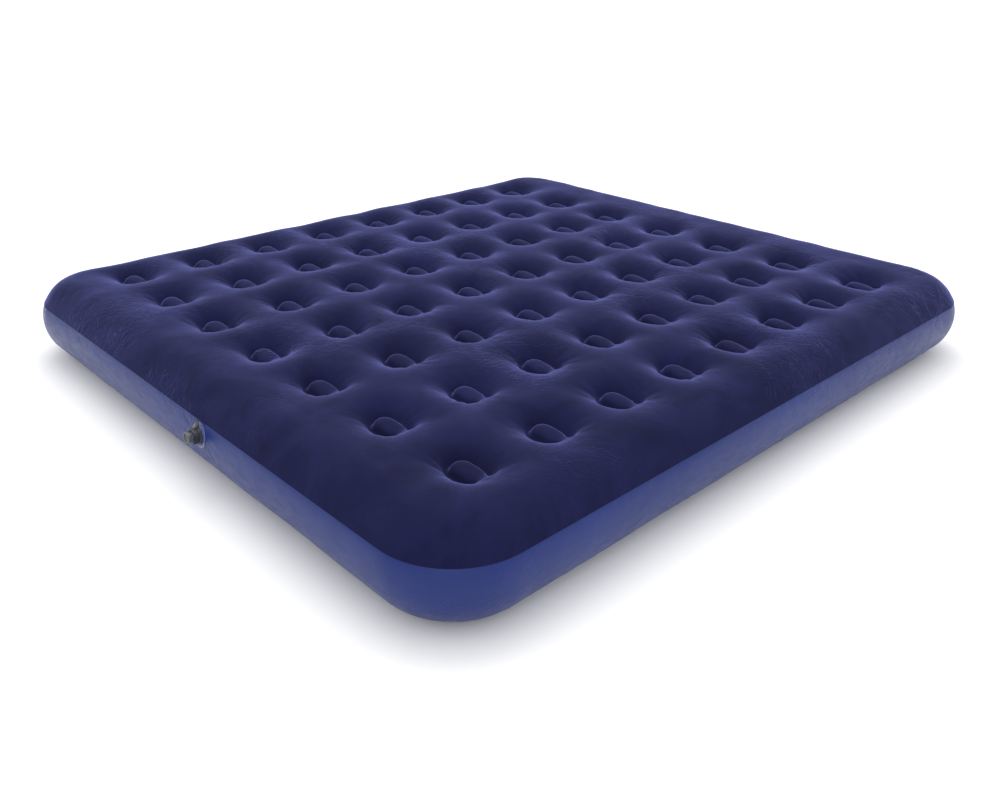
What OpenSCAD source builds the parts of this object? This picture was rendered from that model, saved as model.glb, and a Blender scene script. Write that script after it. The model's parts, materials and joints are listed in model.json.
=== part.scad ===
// Inflatable king-size air bed: flocked top sheet, vinyl side band and bottom sheet, held flat by a
// lattice of upright horseshoe coils, with a two-stage screw valve in one short side.
// Millimetres. Origin on the floor under the middle of the bed, +X along its length, +Z up.

/* [Bed] */
// Length of the inflated bed, head to foot
bed_length = 2030; // [1900:1:2200]
// Width of the inflated bed
bed_width = 1830; // [1500:1:2000]
// Height of the inflated bed
bed_height = 220; // [200:1:260]
// Radius of the rounded corners, seen from above
corner_radius = 178; // [150:1:240]
// Thickness of the sheets
film = 2; // [1.5:0.1:3]

/* [Seams] */
// Where the top sheet meets the side band, in degrees above the widest line of the side
seam_angle = 27; // [10:1:40]
// Where the side band meets the bottom sheet, in degrees below the widest line
foot_angle = 70; // [50:1:75]
// Width of the lapped weld along a seam
lap_width = 10; // [6:1:14]
// Height of the lap above the sheet that it is welded to
lap_height = 1.2; // [0.8:0.1:2]
// How far the end of the band stands out at the corner where it was closed
tab_reach = 5; // [2:0.5:8]

/* [Coils] */
// Coils along the length
coils_along = 8; // [4:1:8]
// Coils across the width
coils_across = 7; // [4:1:7]
// Distance between coils along the length
pitch_along = 213; // [210:1:226]
// Distance between coils across the width
pitch_across = 234; // [210:1:240]
// Shift of the coil lattice along the length
shift_along = -22; // [-30:1:30]
// Shift of the coil lattice across the width
shift_across = 8; // [-10:1:10]
// Radius of a dimple where it leaves the flat of the sheet
dimple_radius = 93; // [80:1:95]
// Depth of a dimple in the top sheet
dimple_depth = 38; // [20:1:45]
// Depth of a dimple in the bottom sheet
underside_depth = 26; // [15:1:35]
// Outer radius of a coil's rounded ends
coil_radius = 28; // [20:1:30]
// Length of a coil, seen from above
coil_length = 91; // [80:1:100]
// How far a coil's ends curve in on each side of its opening, in degrees
coil_curl = 45; // [20:1:60]
// Thickness of a coil's wall and of its weld flanges
coil_wall = 1.5; // [1:0.1:2]
// Width of the weld flange round a coil, at its top and at its foot
coil_flange = 5; // [4:1:8]

/* [Valve] */
// Sideways place of the valve on the short side
valve_y = -125; // [-600:1:600]
// How far above the widest line the valve sits, in degrees
valve_tilt = 9; // [0:1:12]
// Radius of the welded skirt round the valve
skirt_radius = 28; // [26:1:29]
// Radius of the raised flange
flange_radius = 23; // [22:0.5:25]
// Radius of the ribbed grip of the valve body
grip_radius = 17; // [16.5:0.5:18]
// Number of grip ribs
rib_count = 22; // [16:1:28]
// Radius of the inflation bore
bore_radius = 8.5; // [8:0.1:9]
// Radius of the inflation cap
cap_radius = 12.5; // [12.3:0.1:14]

/* [Hidden] */
$fn = 96;

flock_colour = [0.14, 0.15, 0.33];
vinyl_colour = [0.28, 0.33, 0.52];
coil_colour = [0.45, 0.48, 0.62];
milky_colour = [0.38, 0.42, 0.57];
cap_colour = [0.30, 0.30, 0.33];
black_colour = [0.07, 0.07, 0.08];

// The side of the bed is half a circle as high as the bed.
side_radius = bed_height / 2;
core_radius = corner_radius - side_radius;
straight_length = bed_length - 2 * corner_radius;
straight_width = bed_width - 2 * corner_radius;
lap_angle = lap_width / side_radius * 180 / PI;
seam_lap = [seam_angle - lap_angle / 2, seam_angle + lap_angle / 2];
foot_lap = [-foot_angle - lap_angle / 2, -foot_angle + lap_angle / 2];
band_lap_angle = 14 / corner_radius * 180 / PI;

coil_bow = coil_length / 2 - coil_radius;
pad_radius = coil_length / 2 + coil_flange + 1;
dimple_steps = 5;
coil_low = underside_depth + film;
coil_high = bed_height - dimple_depth - film;

valve_x = -(bed_length / 2 - side_radius + side_radius * cos(valve_tilt));
valve_z = side_radius + side_radius * sin(valve_tilt);

// Heights along the valve's axis, outward from the side band.
gap = 0.3;
neck_radius = 16;
neck_bore = 13.5;
neck_inner_end = -18;
flange_top = 2;
collar_top = 4.4;
collar_radius = 18.5;
gasket_top = 5.4;
groove_radius = 14.5;
groove_top = 8.2;
grip_top = 19;
mouth_top = 25;
mouth_radius = 10.4;
shank_radius = 12.2;
shank_inner_end = -16;
seat_depth = 3;
pin_x = 10.2;
pin_z = -17.6;
pin_radius = 0.6;
barrel_radius = 1.3;
flap_width = 5;
ear_thickness = 1.5;
strap_width = 6;
strap_thickness = 1.2;
strap_reach = 33;
hinge_x = 19.5;
hinge_z = 21.2;
hinge_radius = 0.5;
cap_top = 28;
seal_top = 26.1;
skirt_low = 21.7;

// A ring sector between two radii and two angles.
module arc_band(inner, outer, low, high) {
    reach = 2 * outer;
    middle = (low + high) / 2;
    intersection() {
        difference() {
            circle(r = outer);
            circle(r = inner);
        }
        polygon([
            [0, 0],
            reach * [cos(low), sin(low)],
            reach * [cos(middle), sin(middle)],
            reach * [cos(high), sin(high)]
        ]);
    }
}

module edge_profile(inner, outer, low, high) {
    translate([core_radius, side_radius]) arc_band(inner, outer, low, high);
}

// The edge profile carried round the whole bed: four quarter turns and four straight lengths.
module rim(inner, outer, low, high) {
    for (turn = [0:3]) {
        across = turn % 2;
        out = (across == 1 ? straight_width : straight_length) / 2;
        run = across == 1 ? straight_length : straight_width;
        rotate(turn * 90) {
            translate([out, 0, 0])
                rotate([90, 0, 0])
                    linear_extrude(run, center = true)
                        edge_profile(inner, outer, low, high);
            translate([out, run / 2, 0])
                rotate_extrude(angle = 90)
                    edge_profile(inner, outer, low, high);
        }
    }
}

module flat_outline() {
    square([straight_length, straight_width + 2 * core_radius], center = true);
    square([straight_length + 2 * core_radius, straight_width], center = true);
    for (x = [-1, 1], y = [-1, 1])
        translate([x * straight_length / 2, y * straight_width / 2]) circle(r = core_radius);
}

function coil_x(column) = shift_along + (column - (coils_along + 1) / 2) * pitch_along;
function coil_y(row) = shift_across + (row - (coils_across + 1) / 2) * pitch_across;

module at_coils() {
    for (column = [1:coils_along], row = [1:coils_across])
        translate([coil_x(column), coil_y(row), 0]) children();
}

// Height of a dimple's wall above the flat sheet, steepest at its pad (t = 0) and level at its rim (t = 1).
function dimple_drop(depth, t) = -depth * pow(1 - t, 2);

module dimple(depth) {
    wall = [
        for (step = [0:dimple_steps])
            let (t = step / dimple_steps)
                [pad_radius + t * (dimple_radius - pad_radius), dimple_drop(depth, t)]
    ];
    under = [for (step = [dimple_steps:-1:0]) wall[step] - [0, film]];
    rotate_extrude()
        polygon(concat([[0, -depth]], wall, under, [[0, -depth - film]]));
}

// A flat sheet with its upper face at height 0 and a dimple over every coil.
module dimpled_sheet(depth) {
    translate([0, 0, -film])
        linear_extrude(film)
            difference() {
                flat_outline();
                at_coils() circle(r = dimple_radius);
            }
    at_coils() dimple(depth);
}

module top_sheet() {
    color(flock_colour) {
        translate([0, 0, bed_height]) dimpled_sheet(dimple_depth);
        rim(side_radius - film, side_radius, seam_angle, 90);
        rim(side_radius, side_radius + lap_height, seam_lap[0], seam_lap[1]);
    }
}

module side_band() {
    color(vinyl_colour) {
        difference() {
            rim(side_radius - film, side_radius, -foot_angle, seam_angle);
            at_valve()
                translate([0, 0, -side_radius / 2]) cylinder(r = neck_radius + gap, h = side_radius);
        }
        band_lap();
    }
}

// The closing lap of the band, at one corner, with the end that stands out under the seam.
module band_lap() {
    translate([straight_length / 2, -straight_width / 2, 0])
        rotate(-45 - band_lap_angle / 2) {
            rotate_extrude(angle = band_lap_angle)
                edge_profile(side_radius, side_radius + lap_height, foot_lap[1], seam_lap[0] - 1);
            rotate_extrude(angle = band_lap_angle / 3)
                edge_profile(side_radius, side_radius + tab_reach, seam_lap[0] - 3, seam_lap[0] - 1);
        }
}

module bottom_sheet() {
    color(vinyl_colour) {
        mirror([0, 0, 1]) dimpled_sheet(underside_depth);
        rim(side_radius - film, side_radius, -90, -foot_angle);
        rim(side_radius, side_radius + lap_height, foot_lap[0], foot_lap[1]);
    }
}

// Cut through a coil's wall: upright, with a flange outside its top and its foot.
module coil_section() {
    inner = coil_radius - coil_wall;
    outer = coil_radius + coil_flange;
    polygon([
        [inner, coil_low],
        [outer, coil_low],
        [outer, coil_low + coil_wall],
        [coil_radius, coil_low + coil_wall],
        [coil_radius, coil_high - coil_wall],
        [outer, coil_high - coil_wall],
        [outer, coil_high],
        [inner, coil_high]
    ]);
}

// An upright wall bent into a horseshoe, open towards -Y so that air gets in.
module coil() {
    translate([0, coil_bow, 0]) rotate_extrude(angle = 180) coil_section();
    for (side = [0, 1])
        mirror([side, 0, 0]) {
            translate([0, coil_bow, 0])
                rotate([90, 0, 0]) linear_extrude(2 * coil_bow) coil_section();
            translate([0, -coil_bow, 0])
                mirror([0, 1, 0]) rotate_extrude(angle = coil_curl) coil_section();
        }
}

module coil_row(column) {
    color(coil_colour)
        for (row = [1:coils_across])
            translate([coil_x(column), coil_y(row), 0]) coil();
}

// Puts a valve piece in place: its z runs out along the valve's axis and its x runs up the band.
module at_valve() {
    translate([valve_x, valve_y, valve_z]) rotate([0, valve_tilt - 90, 0]) children();
}

module tube(outer, inner, low, high) {
    translate([0, 0, low])
        linear_extrude(high - low)
            difference() {
                circle(r = outer);
                circle(r = inner);
            }
}

// A round bar along the bed's length axis of the short side that carries the valve.
module side_bar(radius) {
    translate([side_radius - bed_length / 2, valve_y, side_radius])
        rotate([90, 0, 0])
            cylinder(r = radius, h = 4 * skirt_radius, center = true, $fn = 180);
}

module valve_flange() {
    color(milky_colour)
        difference() {
            union() {
                intersection() {
                    side_bar(side_radius + lap_height);
                    at_valve() cylinder(r = skirt_radius, h = 20, center = true);
                }
                at_valve() {
                    translate([0, 0, -neck_radius / 2])
                        cylinder(r = flange_radius, h = neck_radius / 2 + flange_top);
                    cylinder(r = collar_radius, h = collar_top);
                }
            }
            side_bar(side_radius);
            at_valve() tube(neck_radius + 1, neck_bore, neck_inner_end, -1);
            at_valve() cylinder(r = neck_bore, h = 60, center = true);
        }
    color(milky_colour) at_valve() tube(neck_radius, neck_bore, neck_inner_end, -1);
}

module tether_neck_ring() {
    color(black_colour)
        at_valve() tube(collar_radius + 2.6, collar_radius + 0.1, flange_top + 0.1, collar_top - 0.4);
}

// The strap leaves the neck ring, turns back in a loop above the valve and ends at the body ring.
module tether_strap() {
    low = flange_top + 0.4;
    high = groove_top - strap_thickness - 0.6;
    bend = (high + strap_thickness - low) / 2;
    color(black_colour)
        at_valve()
            rotate([90, 0, 0])
                linear_extrude(strap_width, center = true) {
                    translate([collar_radius + 2.7, low])
                        square([strap_reach - collar_radius - 2.7, strap_thickness]);
                    translate([grip_radius + 1.1, high])
                        square([strap_reach - grip_radius - 1.1, strap_thickness]);
                    translate([strap_reach, low + bend])
                        arc_band(bend - strap_thickness, bend, -90, 90);
                }
}

module tether_body_ring() {
    color(black_colour)
        at_valve() tube(grip_radius + 1, groove_radius + gap, gasket_top + gap, groove_top - gap);
}

module body_gasket() {
    color(black_colour) at_valve() tube(groove_radius + 1.5, shank_radius + 0.1, collar_top + 0.05, gasket_top);
}

// The screw-in body: ribbed grip, groove for the tether ring, threaded shank and inflation mouth.
module valve_body() {
    color(black_colour)
        at_valve() {
            difference() {
                union() {
                    translate([0, 0, groove_top]) cylinder(r = grip_radius - 0.8, h = grip_top - groove_top);
                    translate([0, 0, gasket_top]) cylinder(r = groove_radius, h = groove_top - gasket_top);
                    translate([0, 0, shank_inner_end]) cylinder(r = shank_radius, h = gasket_top - shank_inner_end);
                    translate([0, 0, grip_top]) cylinder(r = mouth_radius, h = mouth_top - grip_top);
                    for (ridge = [0:2])
                        translate([0, 0, shank_inner_end + 2 + 5 * ridge])
                            cylinder(r = neck_bore - gap, h = 1.6);
                    for (rib = [1:rib_count])
                        rotate(rib * 360 / rib_count)
                            translate([grip_radius - 0.9, 0, groove_top])
                                cylinder(r = 0.9, h = grip_top - groove_top - 0.5, $fn = 24);
                }
                translate([0, 0, shank_inner_end - 1]) cylinder(r = bore_radius, h = 60);
            }
            for (side = [-1, 1])
                translate([pin_x, side * (flap_width / 2 + gap + ear_thickness / 2), 0])
                    flap_ear();
        }
}

// One of the two ears that carry the flap's pin.
module flap_ear() {
    difference() {
        union() {
            translate([0, 0, pin_z])
                rotate([90, 0, 0]) cylinder(r = barrel_radius, h = ear_thickness, center = true, $fn = 32);
            translate([-barrel_radius, -ear_thickness / 2, pin_z])
                cube([2 * barrel_radius, ear_thickness, shank_inner_end - pin_z]);
        }
        translate([0, 0, pin_z])
            rotate([90, 0, 0]) cylinder(r = pin_radius, h = 3 * ear_thickness, center = true, $fn = 32);
    }
}

module flap_pin() {
    color("silver")
        at_valve()
            translate([pin_x, 0, pin_z])
                rotate([90, 0, 0])
                    cylinder(r = pin_radius, h = flap_width + 2 * (gap + ear_thickness), center = true, $fn = 32);
}

// The ring and cross bar that the flap closes against.
module flap_seat() {
    color(milky_colour)
        at_valve()
            translate([0, 0, shank_inner_end])
                linear_extrude(seat_depth) {
                    difference() {
                        circle(r = bore_radius - 0.02);
                        circle(r = bore_radius - 1.6);
                    }
                    for (turn = [0, 90])
                        rotate(turn) square([2 * bore_radius - 2, 1.4], center = true);
                }
}

module check_flap() {
    thickness = 0.8;
    color(black_colour)
        at_valve()
            difference() {
                union() {
                    translate([0, 0, shank_inner_end - gap - thickness])
                        cylinder(r = bore_radius - 0.7, h = thickness);
                    translate([bore_radius - 3, -flap_width / 2, shank_inner_end - gap - thickness])
                        cube([pin_x - bore_radius + 2.4, flap_width, thickness]);
                    translate([pin_x, 0, pin_z])
                        rotate([90, 0, 0])
                            cylinder(r = barrel_radius, h = flap_width, center = true, $fn = 32);
                }
                translate([pin_x, 0, pin_z])
                    rotate([90, 0, 0])
                        cylinder(r = pin_radius + 0.05, h = 2 * flap_width, center = true, $fn = 32);
            }
}

// The ring round the mouth and the arm that ends at the cap's living hinge.
module cap_strap() {
    low = grip_top + 0.1;
    color(milky_colour)
        at_valve()
            translate([0, 0, low])
                linear_extrude(strap_thickness)
                    difference() {
                        union() {
                            circle(r = mouth_radius + 2);
                            translate([0, -strap_width / 2]) square([hinge_x - gap, strap_width]);
                        }
                        circle(r = mouth_radius + 0.02);
                    }
}

module inflation_cap() {
    color(cap_colour)
        at_valve() {
            difference() {
                translate([0, 0, skirt_low]) cylinder(r = cap_radius, h = cap_top - skirt_low);
                translate([0, 0, skirt_low - 1]) cylinder(r = mouth_radius + 0.4, h = seal_top - skirt_low + 1);
                translate([0, 0, cap_top - 0.9]) cylinder(r = cap_radius - 3.2, h = 2);
            }
            translate([0, 0, cap_top - 0.9]) cylinder(r = 2.4, h = 0.9);
            translate([cap_radius - 1, -strap_width / 2, skirt_low])
                cube([hinge_x - cap_radius + 1, strap_width, strap_thickness]);
            translate([hinge_x, 0, hinge_z])
                rotate([90, 0, 0])
                    cylinder(r = hinge_radius, h = strap_width, center = true, $fn = 32);
            translate([hinge_x - hinge_radius, -strap_width / 2, hinge_z])
                cube([hinge_radius, strap_width, strap_thickness]);
        }
}

module cap_seal() {
    color(black_colour)
        at_valve() translate([0, 0, mouth_top + gap]) cylinder(r = mouth_radius + 0.3, h = seal_top - mouth_top - gap);
}

top_sheet();
side_band();
bottom_sheet();
for (row = [1:coils_along])
    coil_row(row);
valve_flange();
tether_neck_ring();
tether_strap();
tether_body_ring();
valve_body();
body_gasket();
flap_seat();
flap_pin();
check_flap();
cap_strap();
inflation_cap();
cap_seal();
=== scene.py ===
import json
import math

import bpy
import numpy as np
from mathutils import Matrix, Vector


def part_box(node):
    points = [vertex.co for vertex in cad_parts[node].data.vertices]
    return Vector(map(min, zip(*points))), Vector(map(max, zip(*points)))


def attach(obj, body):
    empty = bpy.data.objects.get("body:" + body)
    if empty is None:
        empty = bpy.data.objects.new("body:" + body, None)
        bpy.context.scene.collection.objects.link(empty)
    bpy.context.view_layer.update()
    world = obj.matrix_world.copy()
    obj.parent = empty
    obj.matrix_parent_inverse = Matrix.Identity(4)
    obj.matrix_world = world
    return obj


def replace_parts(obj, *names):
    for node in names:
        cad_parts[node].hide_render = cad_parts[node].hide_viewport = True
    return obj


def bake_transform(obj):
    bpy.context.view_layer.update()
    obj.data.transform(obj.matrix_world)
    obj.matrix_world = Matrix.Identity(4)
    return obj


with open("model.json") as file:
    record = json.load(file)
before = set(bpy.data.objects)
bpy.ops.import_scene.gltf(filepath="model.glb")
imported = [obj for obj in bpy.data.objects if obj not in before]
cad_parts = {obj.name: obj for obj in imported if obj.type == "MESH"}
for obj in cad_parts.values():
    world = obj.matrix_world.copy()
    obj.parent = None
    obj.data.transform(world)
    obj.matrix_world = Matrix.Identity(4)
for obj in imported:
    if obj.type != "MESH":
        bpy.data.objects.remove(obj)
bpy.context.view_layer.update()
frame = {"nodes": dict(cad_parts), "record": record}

# ---------------------------------------------------------------------------------------------
# Sizes, in metres, from the frame where it has them
# ---------------------------------------------------------------------------------------------

BAND_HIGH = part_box("side_band")[1]
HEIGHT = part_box("top_sheet")[1].z
SIDE_RADIUS = HEIGHT / 2
CORNER_RADIUS = 0.178
CORE_RADIUS = CORNER_RADIUS - SIDE_RADIUS
CORE_HALF = np.array([BAND_HIGH.x - CORNER_RADIUS, BAND_HIGH.y - CORNER_RADIUS])

# A coil is a horseshoe seen from above: a half circle, two straight legs and two ends curled in.
# The weld lies between the inner and outer radius, and COIL_BOW is half a leg's length.
COIL_ROWS = sorted(name for name in frame["nodes"] if name.startswith("coil_row_"))
ROWS_ACROSS = 7
COIL_INNER, COIL_OUTER = 0.0265, 0.033
COIL_BOW = 0.0175
COIL_CURL = math.radians(45)
FILM = 0.002
FIRST_LOW, FIRST_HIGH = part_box(COIL_ROWS[0])
COIL_X = np.array([(sum(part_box(row), Vector()) / 2).x for row in COIL_ROWS])
COIL_Y = np.linspace(FIRST_LOW.y + COIL_BOW + COIL_OUTER * math.sin(COIL_CURL),
                     FIRST_HIGH.y - COIL_BOW - COIL_OUTER, ROWS_ACROSS)
WELD_TOP = FIRST_HIGH.z + FILM
WELD_UNDER = FIRST_LOW.z - FILM

# A turn is the angle round the side from straight up: at the seam, and at the foot.
SEAM_ANGLE = math.radians(27)
FOOT_ANGLE = math.radians(70)
SEAM_TURN = math.pi / 2 - SEAM_ANGLE
FOOT_TURN = math.pi / 2 + FOOT_ANGLE
HEM_REACH = 0.003
HEM_STAND = 0.0009
LAP_WIDTH = 0.014

VALVE_TILT = math.radians(9)
VALVE_OUT = np.array([-math.cos(VALVE_TILT), 0, math.sin(VALVE_TILT)])
VALVE_UP = np.array([math.sin(VALVE_TILT), 0, math.cos(VALVE_TILT)])
FLANGE_LOW, FLANGE_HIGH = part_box("valve_flange")
VALVE = np.array([-(CORE_HALF[0] + CORE_RADIUS), (FLANGE_LOW.y + FLANGE_HIGH.y) / 2, SIDE_RADIUS]) \
    + SIDE_RADIUS * VALVE_OUT
NECK_HOLE = 0.0175

# The blown-up film: how far the dimple field reaches past the outer coils, and how hard the air
# bends it, as a curvature, between the coils, inside a horseshoe and on the underside.
CELL_REACH = 0.08
PUSH = 14.0
PILLOW_PUSH = 90.0
UNDER_PUSH = 9.0
PILLOW_HEIGHT = 0.018
UNDER_PILLOW = 0.008


# ---------------------------------------------------------------------------------------------
# The shape of the bed
# ---------------------------------------------------------------------------------------------

def wrap(flat, lift, under=False):
    """Puts points of the flat-cut sheet on the bed: level in the middle, then round the side.
    lift moves them outwards. The underside is the same shape turned over."""
    core = np.clip(flat, -CORE_HALF, CORE_HALF)
    away = flat - core
    distance = np.linalg.norm(away, axis=1)
    out = away / np.maximum(distance, 1e-9)[:, None]
    turn = np.maximum(distance - CORE_RADIUS, 0) / SIDE_RADIUS
    reach = np.minimum(distance, CORE_RADIUS) + (SIDE_RADIUS + lift) * np.sin(turn)
    height = SIDE_RADIUS + (SIDE_RADIUS + lift) * np.cos(turn)
    if under:
        height = HEIGHT - height
    return np.column_stack([core + out * reach[:, None], height])


def core_path(steps_long, steps_wide):
    """Points round the core's straight edges with the way out from each, evenly spaced where the
    bed is widest, anticlockwise from the corner at -X, -Y."""
    cores, outs = [], []
    for side in range(4):
        steps = steps_wide if side % 2 else steps_long
        run = 2 * CORE_HALF[side % 2]
        arc = CORNER_RADIUS * math.pi / 4
        along = np.arange(steps) / steps * (run + 2 * arc) - arc
        past = np.where(along < 0, along, np.maximum(along - run, 0))
        angle = past / CORNER_RADIUS
        core = np.column_stack([np.clip(along, 0, run) - run / 2, np.full(steps, -CORE_HALF[1 - side % 2])])
        out = np.column_stack([np.sin(angle), -np.cos(angle)])
        turn = side * math.pi / 2
        spin = np.array([[math.cos(turn), math.sin(turn)], [-math.sin(turn), math.cos(turn)]])
        cores.append(core @ spin)
        outs.append(out @ spin)
    return np.concatenate(cores), np.concatenate(outs)


def horseshoe(radius, side):
    """Points round a coil's weld, anticlockwise: three sides' steps from its foot at +X up one leg,
    round the bow and down to the other foot, then one side's steps across the open end."""
    bend, leg = radius * COIL_CURL, 2 * COIL_BOW
    stops = np.cumsum([0, bend, leg, math.pi * radius, leg, bend])
    run = np.arange(3 * side) / (3 * side) * stops[-1]
    angle = np.interp(run, stops, [-COIL_CURL, 0, 0, math.pi, math.pi, math.pi + COIL_CURL])
    rise = np.interp(run, stops, [-COIL_BOW, -COIL_BOW, COIL_BOW, COIL_BOW, -COIL_BOW, -COIL_BOW])
    gap = math.pi + COIL_CURL + np.arange(side) / side * (math.pi - 2 * COIL_CURL)
    angle = np.concatenate([angle, gap])
    rise = np.concatenate([rise, np.full(side, -COIL_BOW)])
    return np.column_stack([radius * np.cos(angle), rise + radius * np.sin(angle)])


class Sheet:
    """The flat-cut mesh of a dimpled sheet: a fan of rings round every coil, then a margin of
    rings out to its edge. Points shared by neighbouring fans are joined. held marks the points
    that are welded to a coil, and pocket those inside its horseshoe."""

    def __init__(self, side, inner_steps, outer_steps, margin_steps, edge_turn):
        self.points, self.faces, self.held, self.pocket = [], [], [], []
        self.count = 0
        self.side = side
        xs, ys = COIL_X, COIL_Y
        cuts_x = [xs[0] - CELL_REACH, *((a + b) / 2 for a, b in zip(xs, xs[1:])), xs[-1] + CELL_REACH]
        cuts_y = [ys[0] - CELL_REACH, *((a + b) / 2 for a, b in zip(ys, ys[1:])), ys[-1] + CELL_REACH]
        for i, x in enumerate(xs):
            for j, y in enumerate(ys):
                self.add_fan(np.array([x, y]), cuts_x[i:i + 2], cuts_y[j:j + 2], inner_steps, outer_steps)
        self.join()
        self.add_margin(cuts_x, cuts_y, margin_steps, edge_turn)

    def add(self, points, held=None, pocket=None):
        """Adds points and returns the number of the first."""
        first = self.count
        none = np.zeros(len(points), bool)
        self.points.append(points)
        self.held.append(none if held is None else held)
        self.pocket.append(none if pocket is None else pocket)
        self.count += len(points)
        return first

    def add_fan(self, middle, span_x, span_y, inner_steps, outer_steps):
        """Rings from the middle of one coil, over its weld, to the edge of its rectangle."""
        side = self.side
        spokes = 4 * side
        share = np.arange(side)[:, None] / side
        corners = np.array([[span_x[1], span_y[0]], [span_x[1], span_y[1]],
                            [span_x[0], span_y[1]], [span_x[0], span_y[0]]])
        edge = np.concatenate([a + share * (b - a) for a, b in zip(corners, np.roll(corners, -1, axis=0))])
        inner, outer = horseshoe(COIL_INNER, side), horseshoe(COIL_OUTER, side)
        rings = [middle + inner * ((step + 1) / (inner_steps + 1)) ** 0.7 for step in range(inner_steps)]
        rings += [middle + inner, middle + (inner + outer) / 2, middle + outer]
        for step in range(1, outer_steps + 1):
            t = (step / outer_steps) ** 1.4
            rings.append((1 - t) * (middle + outer) + t * edge)
        index = np.arange(spokes)
        held = np.zeros((len(rings), spokes), bool)
        held[inner_steps:inner_steps + 3, :3 * side + 1] = True
        pocket = np.zeros((len(rings), spokes), bool)
        pocket[:inner_steps] = True
        first = self.add(np.concatenate([middle[None], *rings]),
                         np.concatenate([[False], held.reshape(-1)]),
                         np.concatenate([[True], pocket.reshape(-1)]))
        after = (index + 1) % spokes
        start = first + 1
        self.faces.append(np.column_stack([np.full(spokes, first), start + index, start + after]))
        for ring in range(len(rings) - 1):
            a, b = start + ring * spokes, start + (ring + 1) * spokes
            self.faces.append(np.column_stack([a + index, b + index, b + after, a + after]))

    def join(self):
        """Makes one point of those that neighbouring fans share."""
        points = np.concatenate(self.points)
        keys = np.round(points * 1e5).astype(np.int64)
        _, first, inverse = np.unique(keys, axis=0, return_index=True, return_inverse=True)
        inverse = inverse.reshape(-1)
        self.points = [points[first]]
        self.held = [np.concatenate(self.held)[first]]
        self.pocket = [np.concatenate(self.pocket)[first]]
        self.faces = [inverse[face] for face in self.faces]
        self.count = len(first)

    def add_margin(self, cuts_x, cuts_y, steps, edge_turn):
        """Rings from the outer edge of the fans to the edge of the sheet, twice as fine along
        the edge as the fans are."""
        side = self.side
        inner = self.fan_edge(cuts_x, cuts_y)
        long_steps, wide_steps = 2 * side * len(COIL_X), 2 * side * len(COIL_Y)
        around = 2 * (long_steps + wide_steps)
        found = self.find(inner)
        inner = np.repeat(inner, 2, axis=0)
        inner[1::2] = (inner[0::2] + np.roll(inner[0::2], -1, axis=0)) / 2
        core, out = core_path(long_steps, wide_steps)
        outer = core + out * (CORE_RADIUS + SIDE_RADIUS * edge_turn)
        rings = [(1 - t) * inner + t * outer for t in np.arange(1, steps + 1) / steps]
        start = self.add(np.concatenate(rings))
        half = np.arange(around // 2)
        self.faces.append(np.column_stack([
            found[half], start + 2 * half, start + 2 * half + 1,
            start + (2 * half + 2) % around, found[(half + 1) % (around // 2)],
        ]))
        index = np.arange(around)
        after = (index + 1) % around
        for ring in range(steps - 1):
            a, b = start + ring * around, start + (ring + 1) * around
            self.faces.append(np.column_stack([a + index, b + index, b + after, a + after]))
        self.edge = start + (steps - 1) * around + index

    def fan_edge(self, cuts_x, cuts_y):
        """The points on the outer edge of the fans, anticlockwise from the corner at -X, -Y."""
        share = np.arange(self.side) / self.side

        def spread(cuts):
            return np.concatenate([a + share * (b - a) for a, b in zip(cuts, cuts[1:])])

        x, y = spread(cuts_x), spread(cuts_y)
        back_x, back_y = spread(cuts_x[::-1]), spread(cuts_y[::-1])
        return np.concatenate([
            np.column_stack([x, np.full(len(x), cuts_y[0])]),
            np.column_stack([np.full(len(y), cuts_x[-1]), y]),
            np.column_stack([back_x, np.full(len(x), cuts_y[-1])]),
            np.column_stack([np.full(len(y), cuts_x[0]), back_y]),
        ])

    def find(self, wanted):
        """The numbers of the points at the wanted places, among the fans' points."""
        known = {tuple(key): n for n, key in enumerate(np.round(self.points[0] * 1e5).astype(np.int64))}
        return np.array([known[tuple(key)] for key in np.round(wanted * 1e5).astype(np.int64)])

    def flat(self):
        return np.concatenate(self.points)


def triangles(faces):
    """The faces cut into triangles."""
    return np.concatenate([face[:, [0, k, k + 1]] for face in faces for k in range(1, face.shape[1] - 1)])


def film(flat, faces, pinned, height, push, ceiling, give):
    """How far a blown-up film stands off the bed's plain shape, held at height where it is
    pinned. push is its curvature, which fades over the last give below the ceiling, where the
    film is stretched tight. Each pass lets the steep parts hang as they are loaded."""
    tri = triangles(faces)
    edge = [flat[tri[:, (k + 2) % 3]] - flat[tri[:, (k + 1) % 3]] for k in range(3)]
    area = np.abs(edge[0][:, 0] * edge[1][:, 1] - edge[0][:, 1] * edge[1][:, 0]) / 2
    load = push * sum(np.bincount(tri[:, k], area / 3, len(flat)) for k in range(3))
    free = ~pinned
    lift = np.where(pinned, height, height.min() * 0.4)
    for _ in range(8):
        slope = sum(lift[tri[:, k], None] * edge[k] for k in range(3)) / (2 * area[:, None])
        ease = np.maximum(1 / np.sqrt(1 + (slope ** 2).sum(1)), 0.4)
        rows, cols, weights = [], [], []
        for k in range(3):
            a, b = tri[:, (k + 1) % 3], tri[:, (k + 2) % 3]
            weight = -ease * (edge[(k + 1) % 3] * edge[(k + 2) % 3]).sum(1) / (4 * area)
            rows += [a, b]
            cols += [b, a]
            weights += [weight, weight]
        fading = lift > ceiling - give
        spring = np.where(fading, load / give, 0)
        pressed = np.where(fading, load / give * ceiling, load)
        lift = relax(lift, pressed, spring, free, np.concatenate(rows), np.concatenate(cols),
                     np.concatenate(weights))
    return lift


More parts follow.
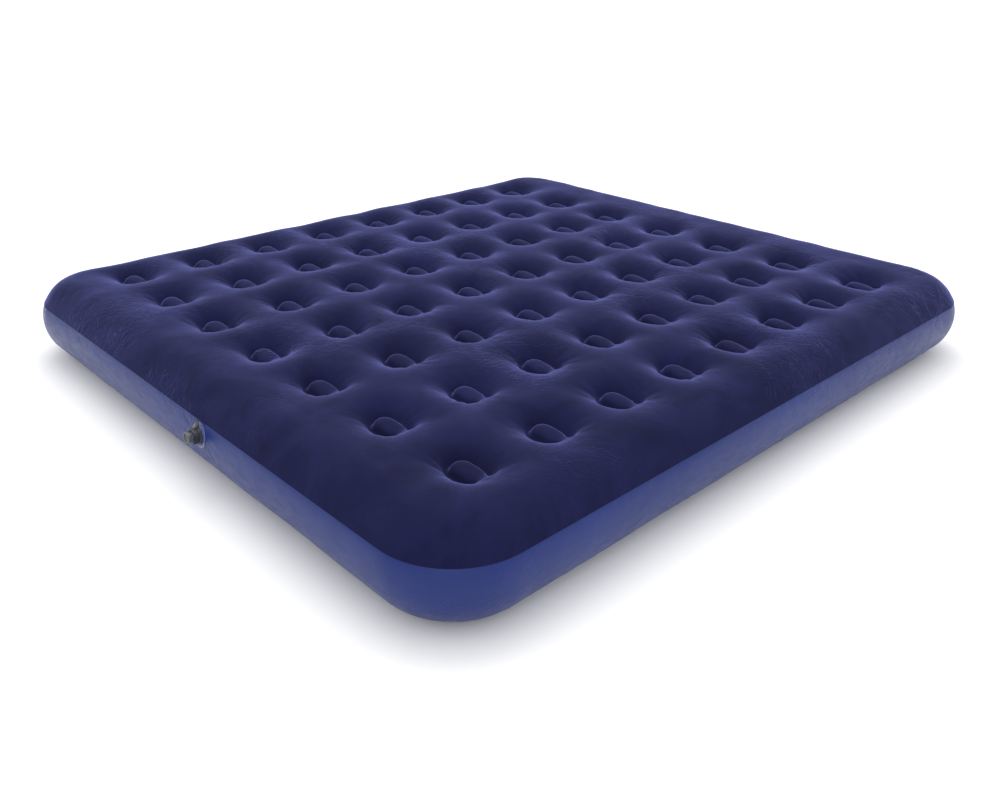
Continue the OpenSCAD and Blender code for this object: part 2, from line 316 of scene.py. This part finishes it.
def relax(lift, load, spring, free, rows, cols, weights):
    """Solves the film's balance at its free points, by conjugate gradients."""
    total = np.bincount(rows, weights, len(lift)) + spring

    def pull(x):
        return np.where(free, total * x - np.bincount(rows, weights * x[cols], len(x)), 0)

    rest = np.where(free, load, 0) - pull(lift)
    aim = rest / total
    step = aim
    energy = rest @ aim
    target = energy * 1e-8
    for _ in range(600):
        drag = pull(step)
        rate = energy / (step @ drag)
        lift = lift + rate * step
        rest = rest - rate * drag
        aim = rest / total
        renewed = rest @ aim
        if renewed < target:
            break
        step = aim + renewed / energy * step
        energy = renewed
    return lift


def new_mesh(name, points, faces):
    """A mesh object from arrays, smooth shaded."""
    mesh = bpy.data.meshes.new(name)
    loops = np.concatenate([face.reshape(-1) for face in faces])
    sizes = np.concatenate([np.full(len(face), face.shape[1]) for face in faces])
    mesh.vertices.add(len(points))
    mesh.vertices.foreach_set("co", np.asarray(points, np.float32).reshape(-1))
    mesh.loops.add(len(loops))
    mesh.loops.foreach_set("vertex_index", loops.astype(np.int32))
    mesh.polygons.add(len(sizes))
    mesh.polygons.foreach_set("loop_start", np.concatenate([[0], np.cumsum(sizes)[:-1]]).astype(np.int32))
    mesh.polygons.foreach_set("use_smooth", np.ones(len(sizes), bool))
    mesh.update(calc_edges=True)
    mesh.validate()
    piece = bpy.data.objects.new(name, mesh)
    bpy.context.scene.collection.objects.link(piece)
    return piece


# ---------------------------------------------------------------------------------------------
# The soft pieces
# ---------------------------------------------------------------------------------------------

def side_distance(flat):
    """How far round the side a point of the flat-cut sheet is; below 0 on the level part."""
    core = np.clip(flat, -CORE_HALF, CORE_HALF)
    return np.linalg.norm(flat - core, axis=1) - CORE_RADIUS


def ripples(points, length, seed, stretch=(1, 1, 1), count=22):
    """A smooth random field, about -1 to 1, whose waves are about length long."""
    draw = np.random.default_rng(seed)
    ways = draw.normal(size=(count, 3))
    ways /= np.linalg.norm(ways, axis=1)[:, None]
    ways *= 2 * math.pi / length * draw.uniform(0.7, 1.4, (count, 1)) * np.array(stretch)
    waves = np.cos(points @ ways.T + draw.uniform(0, 2 * math.pi, count))
    return waves.sum(1) * math.sqrt(2 / count) / 1.6


def bell(x, low, peak, high):
    """0 outside low to high, 1 at peak, smooth between."""
    t = np.where(x < peak, (x - low) / (peak - low), (high - x) / (high - peak))
    t = np.clip(t, 0, 1)
    return t * t * (3 - 2 * t)


def coil_offset(points):
    """Each point's place seen from the middle of the nearest coil."""
    x = points[:, 0] - COIL_X[np.abs(points[:, :1] - COIL_X[None]).argmin(1)]
    y = points[:, 1] - COIL_Y[np.abs(points[:, 1:2] - COIL_Y[None]).argmin(1)]
    return x, y


def top_creases(points):
    """Depth of the small creases that the blown-up film is drawn into: fans round every dimple,
    short ones across the ridges between dimples, and crinkles along the border."""
    x, y = coil_offset(points)
    span = np.hypot(x, np.maximum(np.abs(y) - COIL_BOW, 0))
    field = 0.09
    inside = (np.abs(points[:, 0] - COIL_X.mean()) < np.ptp(COIL_X) / 2 + field) \
        & (np.abs(points[:, 1] - COIL_Y.mean()) < np.ptp(COIL_Y) / 2 + field)
    uneven = np.clip(0.55 + 0.6 * ripples(points, 0.16, 11), 0, 1.3)
    fan = np.cos(14 * np.arctan2(y, x) + 2.6 * ripples(points, 0.12, 12))
    depth = 0.0007 * fan * bell(span, 0.034, 0.052, 0.1) * uneven * inside
    ridge_y = bell(np.abs(x), 0.055, 0.1065, 0.16) * bell(np.abs(y), -0.11, 0, 0.09)
    ridge_x = bell(np.abs(y), 0.06, 0.117, 0.17) * bell(np.abs(x), -0.1, 0, 0.085)
    across_y = ripples(points, 0.02, 13, (0.25, 1, 0.25))
    across_x = ripples(points, 0.02, 14, (1, 0.25, 0.25))
    gate = np.clip(0.3 + ripples(points, 0.2, 15), 0, 1)
    depth += 0.0004 * gate * inside * (ridge_y * across_y + ridge_x * across_x)
    crinkle = np.exp(-(ripples(points, 0.055, 16) / 0.16) ** 2)
    crinkle *= np.clip(ripples(points, 0.3, 17) + 0.1, 0, 1)
    level = np.clip((points[:, 2] - 0.17) / 0.03, 0, 1)
    depth -= 0.0008 * crinkle * level * (span > 0.045)
    return depth + 0.0007 * ripples(points, 0.13, 18) * level * (span > 0.04)


def pushed(piece, depth_of):
    """Moves the piece's points along its normals by depth_of(points)."""
    count = len(piece.data.vertices)
    points, normals = np.zeros(count * 3), np.zeros(count * 3)
    piece.data.vertices.foreach_get("co", points)
    piece.data.vertices.foreach_get("normal", normals)
    points, normals = points.reshape(-1, 3), normals.reshape(-1, 3)
    points = points + normals * depth_of(points)[:, None]
    piece.data.vertices.foreach_set("co", points.astype(np.float32).reshape(-1))
    piece.data.update()


def subdivided(piece):
    """Gives the piece the mesh that one round of smooth subdivision makes."""
    modifier = piece.modifiers.new("smooth", "SUBSURF")
    modifier.levels = modifier.render_levels = 1
    fine = bpy.data.meshes.new_from_object(piece.evaluated_get(bpy.context.evaluated_depsgraph_get()))
    piece.modifiers.clear()
    piece.data = fine


def blown(sheet, weld, pillow, ceiling, give, push):
    """A sheet's flat-cut points and the film's stand-off at each: pinned at height weld along its
    welds and at 0 along its edge, pushed up most along the ridges midway between coils, and
    filled inside each horseshoe to a pillow that is highest at its closed end."""
    flat = sheet.flat()
    held, pocket = np.concatenate(sheet.held), np.concatenate(sheet.pocket)
    edge = np.zeros(len(flat), bool)
    edge[sheet.edge] = True
    x, y = coil_offset(flat)
    away = np.maximum(np.abs(x) / np.diff(COIL_X)[0], np.abs(y) / np.diff(COIL_Y)[0]) * 2
    curve = push * np.where(away < 1, 0.2 + 1.8 * away ** 4, 1.0)
    curve[side_distance(flat) > 0] = 0
    curve[pocket] = PILLOW_PUSH
    roof = np.where(pocket, weld + pillow * (1 + 4 * x + 7 * y), ceiling)
    soften = np.where(pocket, 0.005, give)
    return flat, film(flat, sheet.faces, held | edge, np.where(held, weld, 0.0), curve, roof, soften)


def make_top():
    """The flocked sheet, over the shoulder to its hem, which stands a little over the band."""
    sheet = Sheet(side=9, inner_steps=4, outer_steps=6, margin_steps=15,
                  edge_turn=SEAM_TURN + HEM_REACH / SIDE_RADIUS)
    flat, lift = blown(sheet, weld=WELD_TOP - HEIGHT, pillow=PILLOW_HEIGHT, ceiling=0.001,
                       give=0.012, push=PUSH)
    lift[sheet.edge] = HEM_STAND
    piece = new_mesh("flocked_top", wrap(flat, lift), sheet.faces)
    subdivided(piece)
    pushed(piece, top_creases)
    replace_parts(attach(piece, "mattress"), "top_sheet")
    return piece


def make_base():
    """The sheet underneath, level on the floor between its welds, up to the foot of the band."""
    sheet = Sheet(side=6, inner_steps=1, outer_steps=4, margin_steps=5, edge_turn=math.pi - FOOT_TURN)
    flat, lift = blown(sheet, weld=-WELD_UNDER, pillow=UNDER_PILLOW, ceiling=-0.0004,
                       give=0.004, push=UNDER_PUSH)
    lift[sheet.edge] = HEM_STAND
    points = wrap(flat, np.minimum(lift, HEM_STAND), under=True)
    piece = new_mesh("base_sheet", points, [face[:, ::-1] for face in sheet.faces])
    subdivided(piece)
    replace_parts(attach(piece, "mattress"), "bottom_sheet")
    return piece


def grid_faces(rows, columns, closed):
    """Quads of a grid of points, row after row; closed joins the last column to the first."""
    steps = np.arange(columns if closed else columns - 1)
    after = (steps + 1) % columns
    return [np.column_stack([row * columns + steps, (row + 1) * columns + steps,
                             (row + 1) * columns + after, row * columns + after])
            for row in range(rows - 1)]


def band_depth(points):
    """The wall's unevenness: puckers drawn in by the seam above, slack at the foot, a pull round
    the valve, and long soft waves."""
    from_seam = SIDE_RADIUS * (1 + math.sin(SEAM_ANGLE)) - points[:, 2]
    pucker = ripples(points, 0.022, 31, (1, 1, 0.15)) * np.exp(-np.maximum(from_seam, 0) / 0.02)
    slack = ripples(points, 0.05, 32, (1, 1, 0.3)) * np.exp(-points[:, 2] / 0.03)
    gate = np.clip(0.35 + ripples(points, 0.3, 33), 0, 1)
    depth = 0.0006 * pucker * gate + 0.0008 * slack + 0.0006 * ripples(points, 0.3, 34)
    bend = ripples(points, 0.035, 35, (1, 1, 0.4))
    past_x, past_y = (np.abs(points[:, :2]) - CORE_HALF).T
    at_corner = np.clip(np.minimum(past_x, past_y) / 0.03, 0, 1)
    depth += 0.0005 * bend * at_corner * np.clip(0.4 + ripples(points, 0.12, 36), 0, 1)
    away = points - VALVE
    span = np.linalg.norm(away, axis=1)
    fan = np.cos(13 * np.arctan2(away[:, 2], away[:, 1]) + 1.5 * ripples(points, 0.07, 37))
    near = bell(span, 0.030, 0.042, 0.085)
    calm = np.clip((span - 0.029) / 0.02, 0, 1)
    return (depth * calm + 0.0009 * (fan - 0.6) * near) * np.clip((from_seam - 0.003) / 0.006, 0, 1)


def make_wall():
    """The side band, from under the top sheet's edge down to the base sheet's, with the hole
    that the valve's neck goes through."""
    core, out = core_path(270, 243)
    rows, tuck = 30, 0.004 / SIDE_RADIUS
    shown = np.linspace(SEAM_TURN + 0.005 / SIDE_RADIUS, FOOT_TURN + tuck, rows)
    turns = np.concatenate([[SEAM_TURN - tuck, SEAM_TURN], shown])
    lifts = [-0.0012, -0.0006] + [0.0] * (rows - 1) + [-0.0008]
    points = np.concatenate([wrap(core + out * (CORE_RADIUS + SIDE_RADIUS * turn), np.full(len(core), lift))
                             for turn, lift in zip(turns, lifts)])
    faces = np.concatenate(grid_faces(len(turns), len(core), True))
    away = points - VALVE
    in_bore = np.linalg.norm(away - (away @ VALVE_OUT)[:, None] * VALVE_OUT, axis=1) < NECK_HOLE
    faces = faces[~in_bore[faces].any(1)]
    piece = new_mesh("side_wall", points, [faces])
    pushed(piece, band_depth)
    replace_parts(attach(piece, "mattress"), "side_band")
    return piece


def make_join():
    """The closing lap of the band at one corner: a raised strip with a short tab under the seam."""
    corner = np.array([CORE_HALF[0], -CORE_HALF[1]])
    turns = np.linspace(SEAM_TURN + 0.006 / SIDE_RADIUS, FOOT_TURN - 0.004 / SIDE_RADIUS, 44)
    across = np.array([-1, -0.97, -0.9, -0.6, -0.2, 0.2, 0.6, 0.9, 0.97, 1]) * LAP_WIDTH / 2
    rise = np.array([-0.2, 0.5, 1.0, 1.15, 1.2, 1.2, 1.15, 1.0, 0.5, -0.2]) * 0.001
    rows = []
    for step, turn in enumerate(turns):
        tab = max(0.0, 1 - step / 3) * np.exp(-((across + 0.0045) / 0.003) ** 2)
        angle = -math.pi / 4 + across / CORNER_RADIUS
        out = np.column_stack([np.cos(angle), np.sin(angle)])
        end = -0.3 if step in (0, len(turns) - 1) else 1.0
        rows.append(wrap(corner + out * (CORE_RADIUS + SIDE_RADIUS * turn), rise * end + 0.004 * tab))
    piece = new_mesh("wall_join", np.concatenate(rows), grid_faces(len(turns), len(across), False))
    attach(piece, "mattress")
    return piece


# ---------------------------------------------------------------------------------------------
# The valve's two soft straps
# ---------------------------------------------------------------------------------------------

def valve_point(up, side, out):
    """A point given along the valve: up the wall, along the wall and outwards."""
    return VALVE + up * VALVE_UP + side * np.array([0, 1, 0]) + out * VALVE_OUT


def squared(angle_part):
    """Pulls a sine or cosine out towards -1 or 1, which makes a circle nearly a rectangle."""
    return np.sign(angle_part) * np.abs(angle_part) ** 0.35


def ribbon(name, path, width, thickness):
    """A flat strap with eased edges, along a path given as (up, out) in the valve's own frame."""
    path = np.array(path)
    ahead = np.gradient(path, axis=0)
    ahead /= np.linalg.norm(ahead, axis=1)[:, None]
    across = np.column_stack([-ahead[:, 1], ahead[:, 0]])
    sides = 20
    angle = np.arange(sides) / sides * 2 * math.pi
    section = np.column_stack([squared(np.cos(angle)) * width / 2, squared(np.sin(angle)) * thickness / 2])
    points = []
    for at, turn in zip(path, across):
        for side, rise in section:
            up, out = at + turn * rise
            points.append(valve_point(up, side, out))
    ends = [np.arange(sides)[None, ::-1], (len(path) - 1) * sides + np.arange(sides)[None]]
    return new_mesh(name, np.array(points), grid_faces(len(path), sides, True) + ends)


def make_tether():
    """The strap that keeps the valve body on the bed: up from the neck's ring, round a half
    circle and back down to the body's ring."""
    low, high, reach = 0.003, 0.0070, 0.033
    middle, bend = (low + high) / 2, (high - low) / 2
    loop = [(up, low) for up in np.linspace(0.0205, reach, 9)]
    loop += [(reach + bend * math.sin(t), middle - bend * math.cos(t))
             for t in np.linspace(0, math.pi, 13)[1:-1]]
    loop += [(up, high) for up in np.linspace(reach, 0.0175, 10)]
    tether = ribbon("tether_loop", loop, 0.006, 0.0012)
    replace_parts(tether, "tether_strap")
    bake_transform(tether)
    return tether


def make_hinge_film():
    """The thin living hinge between the cap's strap and the cap."""
    low, high = 0.0200, 0.0222
    path = [(up, out) for up, out in zip(np.linspace(0.0178, 0.0196, 9), np.linspace(low, high, 9))]
    hinge = ribbon("cap_hinge_film", path, 0.0054, 0.0005)
    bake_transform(hinge)
    return hinge


# ---------------------------------------------------------------------------------------------
# Materials
# ---------------------------------------------------------------------------------------------

class Look:
    """A procedural material under construction."""

    def __init__(self, name, color, roughness, **settings):
        self.material = bpy.data.materials.new(name)
        self.material.use_nodes = True
        self.tree = self.material.node_tree
        self.shader = self.tree.nodes["Principled BSDF"]
        self.set("Base Color", (*color, 1))
        self.set("Roughness", roughness)
        for socket, value in settings.items():
            self.set(socket.replace("_", " "), value)
        self.place = self.tree.nodes.new("ShaderNodeTexCoord").outputs["Object"]

    def set(self, socket, value):
        self.shader.inputs[socket].default_value = value

    def link(self, output, socket):
        self.tree.links.new(output, socket)

    def noise(self, scale, detail=3.0, roughness=0.55, stretch=None, warp=0.0):
        node = self.tree.nodes.new("ShaderNodeTexNoise")
        node.inputs["Scale"].default_value = scale
        node.inputs["Detail"].default_value = detail
        node.inputs["Roughness"].default_value = roughness
        node.inputs["Distortion"].default_value = warp
        self.link(self.stretched(stretch), node.inputs["Vector"])
        return node.outputs["Fac"]

    def cells(self, scale):
        node = self.tree.nodes.new("ShaderNodeTexVoronoi")
        node.inputs["Scale"].default_value = scale
        self.link(self.place, node.inputs["Vector"])
        return node.outputs["Distance"]

    def stretched(self, stretch):
        if stretch is None:
            return self.place
        node = self.tree.nodes.new("ShaderNodeMapping")
        node.inputs["Scale"].default_value = stretch
        self.link(self.place, node.inputs["Vector"])
        return node.outputs["Vector"]

    def math(self, operation, a, b):
        node = self.tree.nodes.new("ShaderNodeMath")
        node.operation = operation
        for value, socket in ((a, node.inputs[0]), (b, node.inputs[1])):
            if hasattr(value, "links"):
                self.link(value, socket)
            else:
                socket.default_value = value
        return node.outputs["Value"]

    def between(self, factor, low, high, start=0.3, stop=0.7):
        """A value or colour from low to high as factor goes from start to stop."""
        if isinstance(low, float):
            node = self.tree.nodes.new("ShaderNodeMapRange")
            for name, value in (("From Min", start), ("From Max", stop), ("To Min", low), ("To Max", high)):
                node.inputs[name].default_value = value
            self.link(factor, node.inputs["Value"])
            return node.outputs["Result"]
        node = self.tree.nodes.new("ShaderNodeValToRGB")
        ramp = node.color_ramp.elements
        ramp[0].position, ramp[0].color = start, (*low, 1)
        ramp[1].position, ramp[1].color = stop, (*high, 1)
        self.link(factor, node.inputs["Fac"])
        return node.outputs["Color"]

    def color(self, output):
        self.link(output, self.shader.inputs["Base Color"])

    def roughness(self, output):
        self.link(output, self.shader.inputs["Roughness"])

    def bump(self, *layers):
        """Each layer is a height output with its depth in metres."""
        normal = None
        for height, depth in layers:
            node = self.tree.nodes.new("ShaderNodeBump")
            node.inputs["Strength"].default_value = 1
            node.inputs["Distance"].default_value = depth
            self.link(height, node.inputs["Height"])
            if normal is not None:
                self.link(normal, node.inputs["Normal"])
            normal = node.outputs["Normal"]
        self.link(normal, self.shader.inputs["Normal"])


def creases(look, scale, width):
    """Thin wandering creases: 1 in the crease, 0 away from it, only in patches."""
    ridge = look.math("ABSOLUTE", look.math("SUBTRACT", look.noise(scale, 2.0, 0.5, warp=1.2), 0.5), 0.0)
    patch = look.between(look.noise(scale * 0.13, 2.0), 0.0, 1.0, 0.46, 0.62)
    return look.math("MULTIPLY", look.between(ridge, 1.0, 0.0, 0.0, width), patch)


def flock_look():
    """Navy flocking: a dark pile that goes pale at a glance, brushed in patches and crinkled."""
    look = Look("flock", (0.006, 0.007, 0.03), 0.9, Specular_IOR_Level=0.1, Sheen_Weight=0.6,
                Sheen_Roughness=0.3, Sheen_Tint=(0.32, 0.35, 0.92, 1))
    brushed = look.noise(7, 5.0, 0.62, warp=0.8)
    fleck = look.noise(900, 2.0)
    tone = look.math("ADD", look.math("MULTIPLY", brushed, 0.8), look.math("MULTIPLY", fleck, 0.2))
    look.color(look.between(tone, (0.0046, 0.0056, 0.030), (0.0086, 0.0102, 0.051), 0.35, 0.65))
    look.link(look.between(brushed, 0.6, 0.95, 0.35, 0.65), look.shader.inputs["Sheen Weight"])
    look.bump((creases(look, 28, 0.07), -0.0005), (look.noise(160, 3.0, 0.6), 0.00035), (fleck, 0.0002))
    return look.material


def vinyl_look(name, dark, light, gloss):
    """Calendered vinyl film: a fine grain, cloudy colour, faint scuffs and stress creases."""
    look = Look(name, light, gloss, Specular_IOR_Level=0.3)
    cloud = look.noise(3.5, 5.0, 0.6)
    look.color(look.between(cloud, dark, light, 0.32, 0.68))
    scuffs = look.noise(26, 6.0, 0.75, stretch=(1, 1, 3), warp=0.5)
    look.roughness(look.between(scuffs, gloss - 0.07, gloss + 0.13))
    look.bump((creases(look, 22, 0.03), -0.0004), (look.noise(70, 3.0), 0.00025),
              (look.cells(1500), 0.00006))
    return look.material


def moulded_look(name, dark, light, gloss, scale, depth, **settings):
    """A moulded plastic or rubber part: slight colour and gloss variation, a fine spark-eroded
    grain, and a painted highlight that makes its sharp edges paler."""
    look = Look(name, light, gloss, **settings)
    cloud = look.noise(120, 4.0, 0.6)
    edge = look.tree.nodes.new("ShaderNodeNewGeometry").outputs["Pointiness"]
    # Painted highlight: sharp edges, found by pointiness, are painted paler, mixed into the random colour
    # cloud.
    cloud_and_edge_highlight = look.math("ADD", look.math("MULTIPLY", cloud, 0.5), look.between(edge, 0.0, 0.5, 0.5, 0.58))
    look.color(look.between(cloud_and_edge_highlight, dark, light, 0.15, 0.75))
    look.roughness(look.between(look.noise(260, 4.0, 0.65), gloss - 0.06, gloss + 0.1))
    look.bump((look.noise(scale, 3.0, 0.6), depth), (look.noise(scale / 9, 2.0), depth * 2))
    return look.material


def steel_look():
    """Drawn steel wire, with fine lines along it."""
    look = Look("pin_steel", (0.55, 0.56, 0.58), 0.25, Metallic=1.0)
    drawn = look.noise(700, 3.0, 0.6, stretch=(1, 0.05, 1))
    look.color(look.between(drawn, (0.45, 0.46, 0.48), (0.62, 0.63, 0.65)))
    look.roughness(look.between(drawn, 0.18, 0.36))
    look.bump((drawn, 0.00001))
    return look.material


def band_look():
    return vinyl_look("band_vinyl", (0.006, 0.018, 0.125), (0.0095, 0.025, 0.155), 0.36)


def bottom_look():
    return vinyl_look("bottom_vinyl", (0.009, 0.019, 0.095), (0.012, 0.024, 0.115), 0.5)


def coil_look():
    return vinyl_look("coil_vinyl", (0.04, 0.06, 0.17), (0.055, 0.08, 0.21), 0.45)


def milky_look():
    return moulded_look("milky_pvc", (0.05, 0.065, 0.16), (0.12, 0.15, 0.29), 0.32, 900, 0.00003,
                        Subsurface_Weight=0.2, Subsurface_Scale=0.002)


def cap_look():
    return moulded_look("cap_plastic", (0.02, 0.021, 0.026), (0.075, 0.077, 0.088), 0.34, 1400, 0.00003)


def black_look():
    return moulded_look("black_plastic", (0.008, 0.008, 0.011), (0.032, 0.033, 0.038), 0.3, 1400, 0.00003)


def rubber_look():
    return moulded_look("soft_rubber", (0.012, 0.012, 0.012), (0.035, 0.034, 0.033), 0.6, 2200, 0.00004)


LOOKS = {
    "flocked_pvc": flock_look,
    "band_vinyl": band_look,
    "bottom_vinyl": bottom_look,
    "coil_vinyl": coil_look,
    "milky_pvc": milky_look,
    "cap_plastic": cap_look,
    "black_plastic": black_look,
    "soft_rubber": rubber_look,
    "pin_steel": steel_look,
}


def dress(pieces):
    """Gives every shown part of the frame, and every new piece, the look of its slot."""
    made = {slot: make() for slot, make in LOOKS.items()}
    slots = {part["node"]: part["material_slot"] for part in frame["record"]["subparts"]}
    for name, node in frame["nodes"].items():
        for place in node.material_slots:
            place.material = made[slots[name]]
    for piece, slot in pieces.items():
        piece.data.materials.append(made[slot])


# ---------------------------------------------------------------------------------------------
# Camera, light and floor
# ---------------------------------------------------------------------------------------------

def make_camera():
    """The camera, off the corner at -X, -Y and looking down across the bed."""
    yaw, pitch, roll = 0.8058, 0.464, 0.0119
    ahead = Vector((math.cos(pitch) * math.cos(yaw), math.cos(pitch) * math.sin(yaw), -math.sin(pitch)))
    level = Vector((math.sin(yaw), -math.cos(yaw), 0))
    upright = level.cross(ahead)
    right = level * math.cos(roll) + upright * math.sin(roll)
    up = upright * math.cos(roll) - level * math.sin(roll)
    data = bpy.data.cameras.new("camera")
    data.sensor_width = 36
    data.lens = 32.86
    camera = bpy.data.objects.new("camera", data)
    camera.matrix_world = Matrix((right, up, -ahead)).transposed().to_4x4()
    camera.location = (-1.7171, -1.7657, 1.0539)
    bpy.context.scene.collection.objects.link(camera)
    bpy.context.scene.camera = camera


def make_light(name, place, aim, size, power):
    """A soft rectangular lamp at place, pointing at aim."""
    data = bpy.data.lights.new(name, "AREA")
    data.shape = "RECTANGLE"
    data.size, data.size_y = size
    data.energy = power
    light = bpy.data.objects.new(name, data)
    light.location = place
    light.rotation_euler = (Vector(aim) - Vector(place)).to_track_quat("-Z", "Y").to_euler()
    bpy.context.scene.collection.objects.link(light)


def make_stage():
    """The floor, the sky and two soft lamps."""
    floor_mesh = bpy.data.meshes.new("floor")
    far = 40
    corners = [(-far, -far, 0), (far, -far, 0), (far, far, 0), (-far, far, 0)]
    floor_mesh.from_pydata(corners, [], [(0, 1, 2, 3)])
    floor = bpy.data.objects.new("floor", floor_mesh)
    bpy.context.scene.collection.objects.link(floor)
    look = Look("floor", (0.9, 0.9, 0.9), 0.8, Specular_IOR_Level=0.1)
    look.color(look.between(look.noise(0.7, 2), (0.88, 0.88, 0.88), (0.91, 0.91, 0.91)))
    floor.data.materials.append(look.material)
    make_sky()
    make_light("overhead", (0.6, 0.9, 3.2), (0, 0, 0.2), (3.5, 3.5), 60)
    make_light("front", (-3.2, -3.0, 2.2), (0, 0, 0.2), (2.5, 2.0), 20)


def make_sky():
    """A studio that is bright overhead and dimmer round the sides."""
    world = bpy.data.worlds.new("studio")
    world.use_nodes = True
    tree = world.node_tree
    ways = tree.nodes.new("ShaderNodeTexCoord").outputs["Generated"]
    split = tree.nodes.new("ShaderNodeSeparateXYZ")
    rise = tree.nodes.new("ShaderNodeMapRange")
    tree.links.new(ways, split.inputs["Vector"])
    tree.links.new(split.outputs["Z"], rise.inputs["Value"])
    rise.inputs["To Min"].default_value = 0.6
    rise.inputs["To Max"].default_value = 1.5
    tree.links.new(rise.outputs["Result"], tree.nodes["Background"].inputs["Strength"])
    tree.nodes["Background"].inputs["Color"].default_value = (1, 1, 1, 1)
    bpy.context.scene.world = world


make_camera()
make_stage()
top, wall, base, join = make_top(), make_wall(), make_base(), make_join()
tether, hinge = make_tether(), make_hinge_film()
dress({top: "flocked_pvc", wall: "band_vinyl", join: "band_vinyl", base: "bottom_vinyl",
       tether: "black_plastic", hinge: "cap_plastic"})

bpy.context.scene.view_settings.view_transform = "Standard"
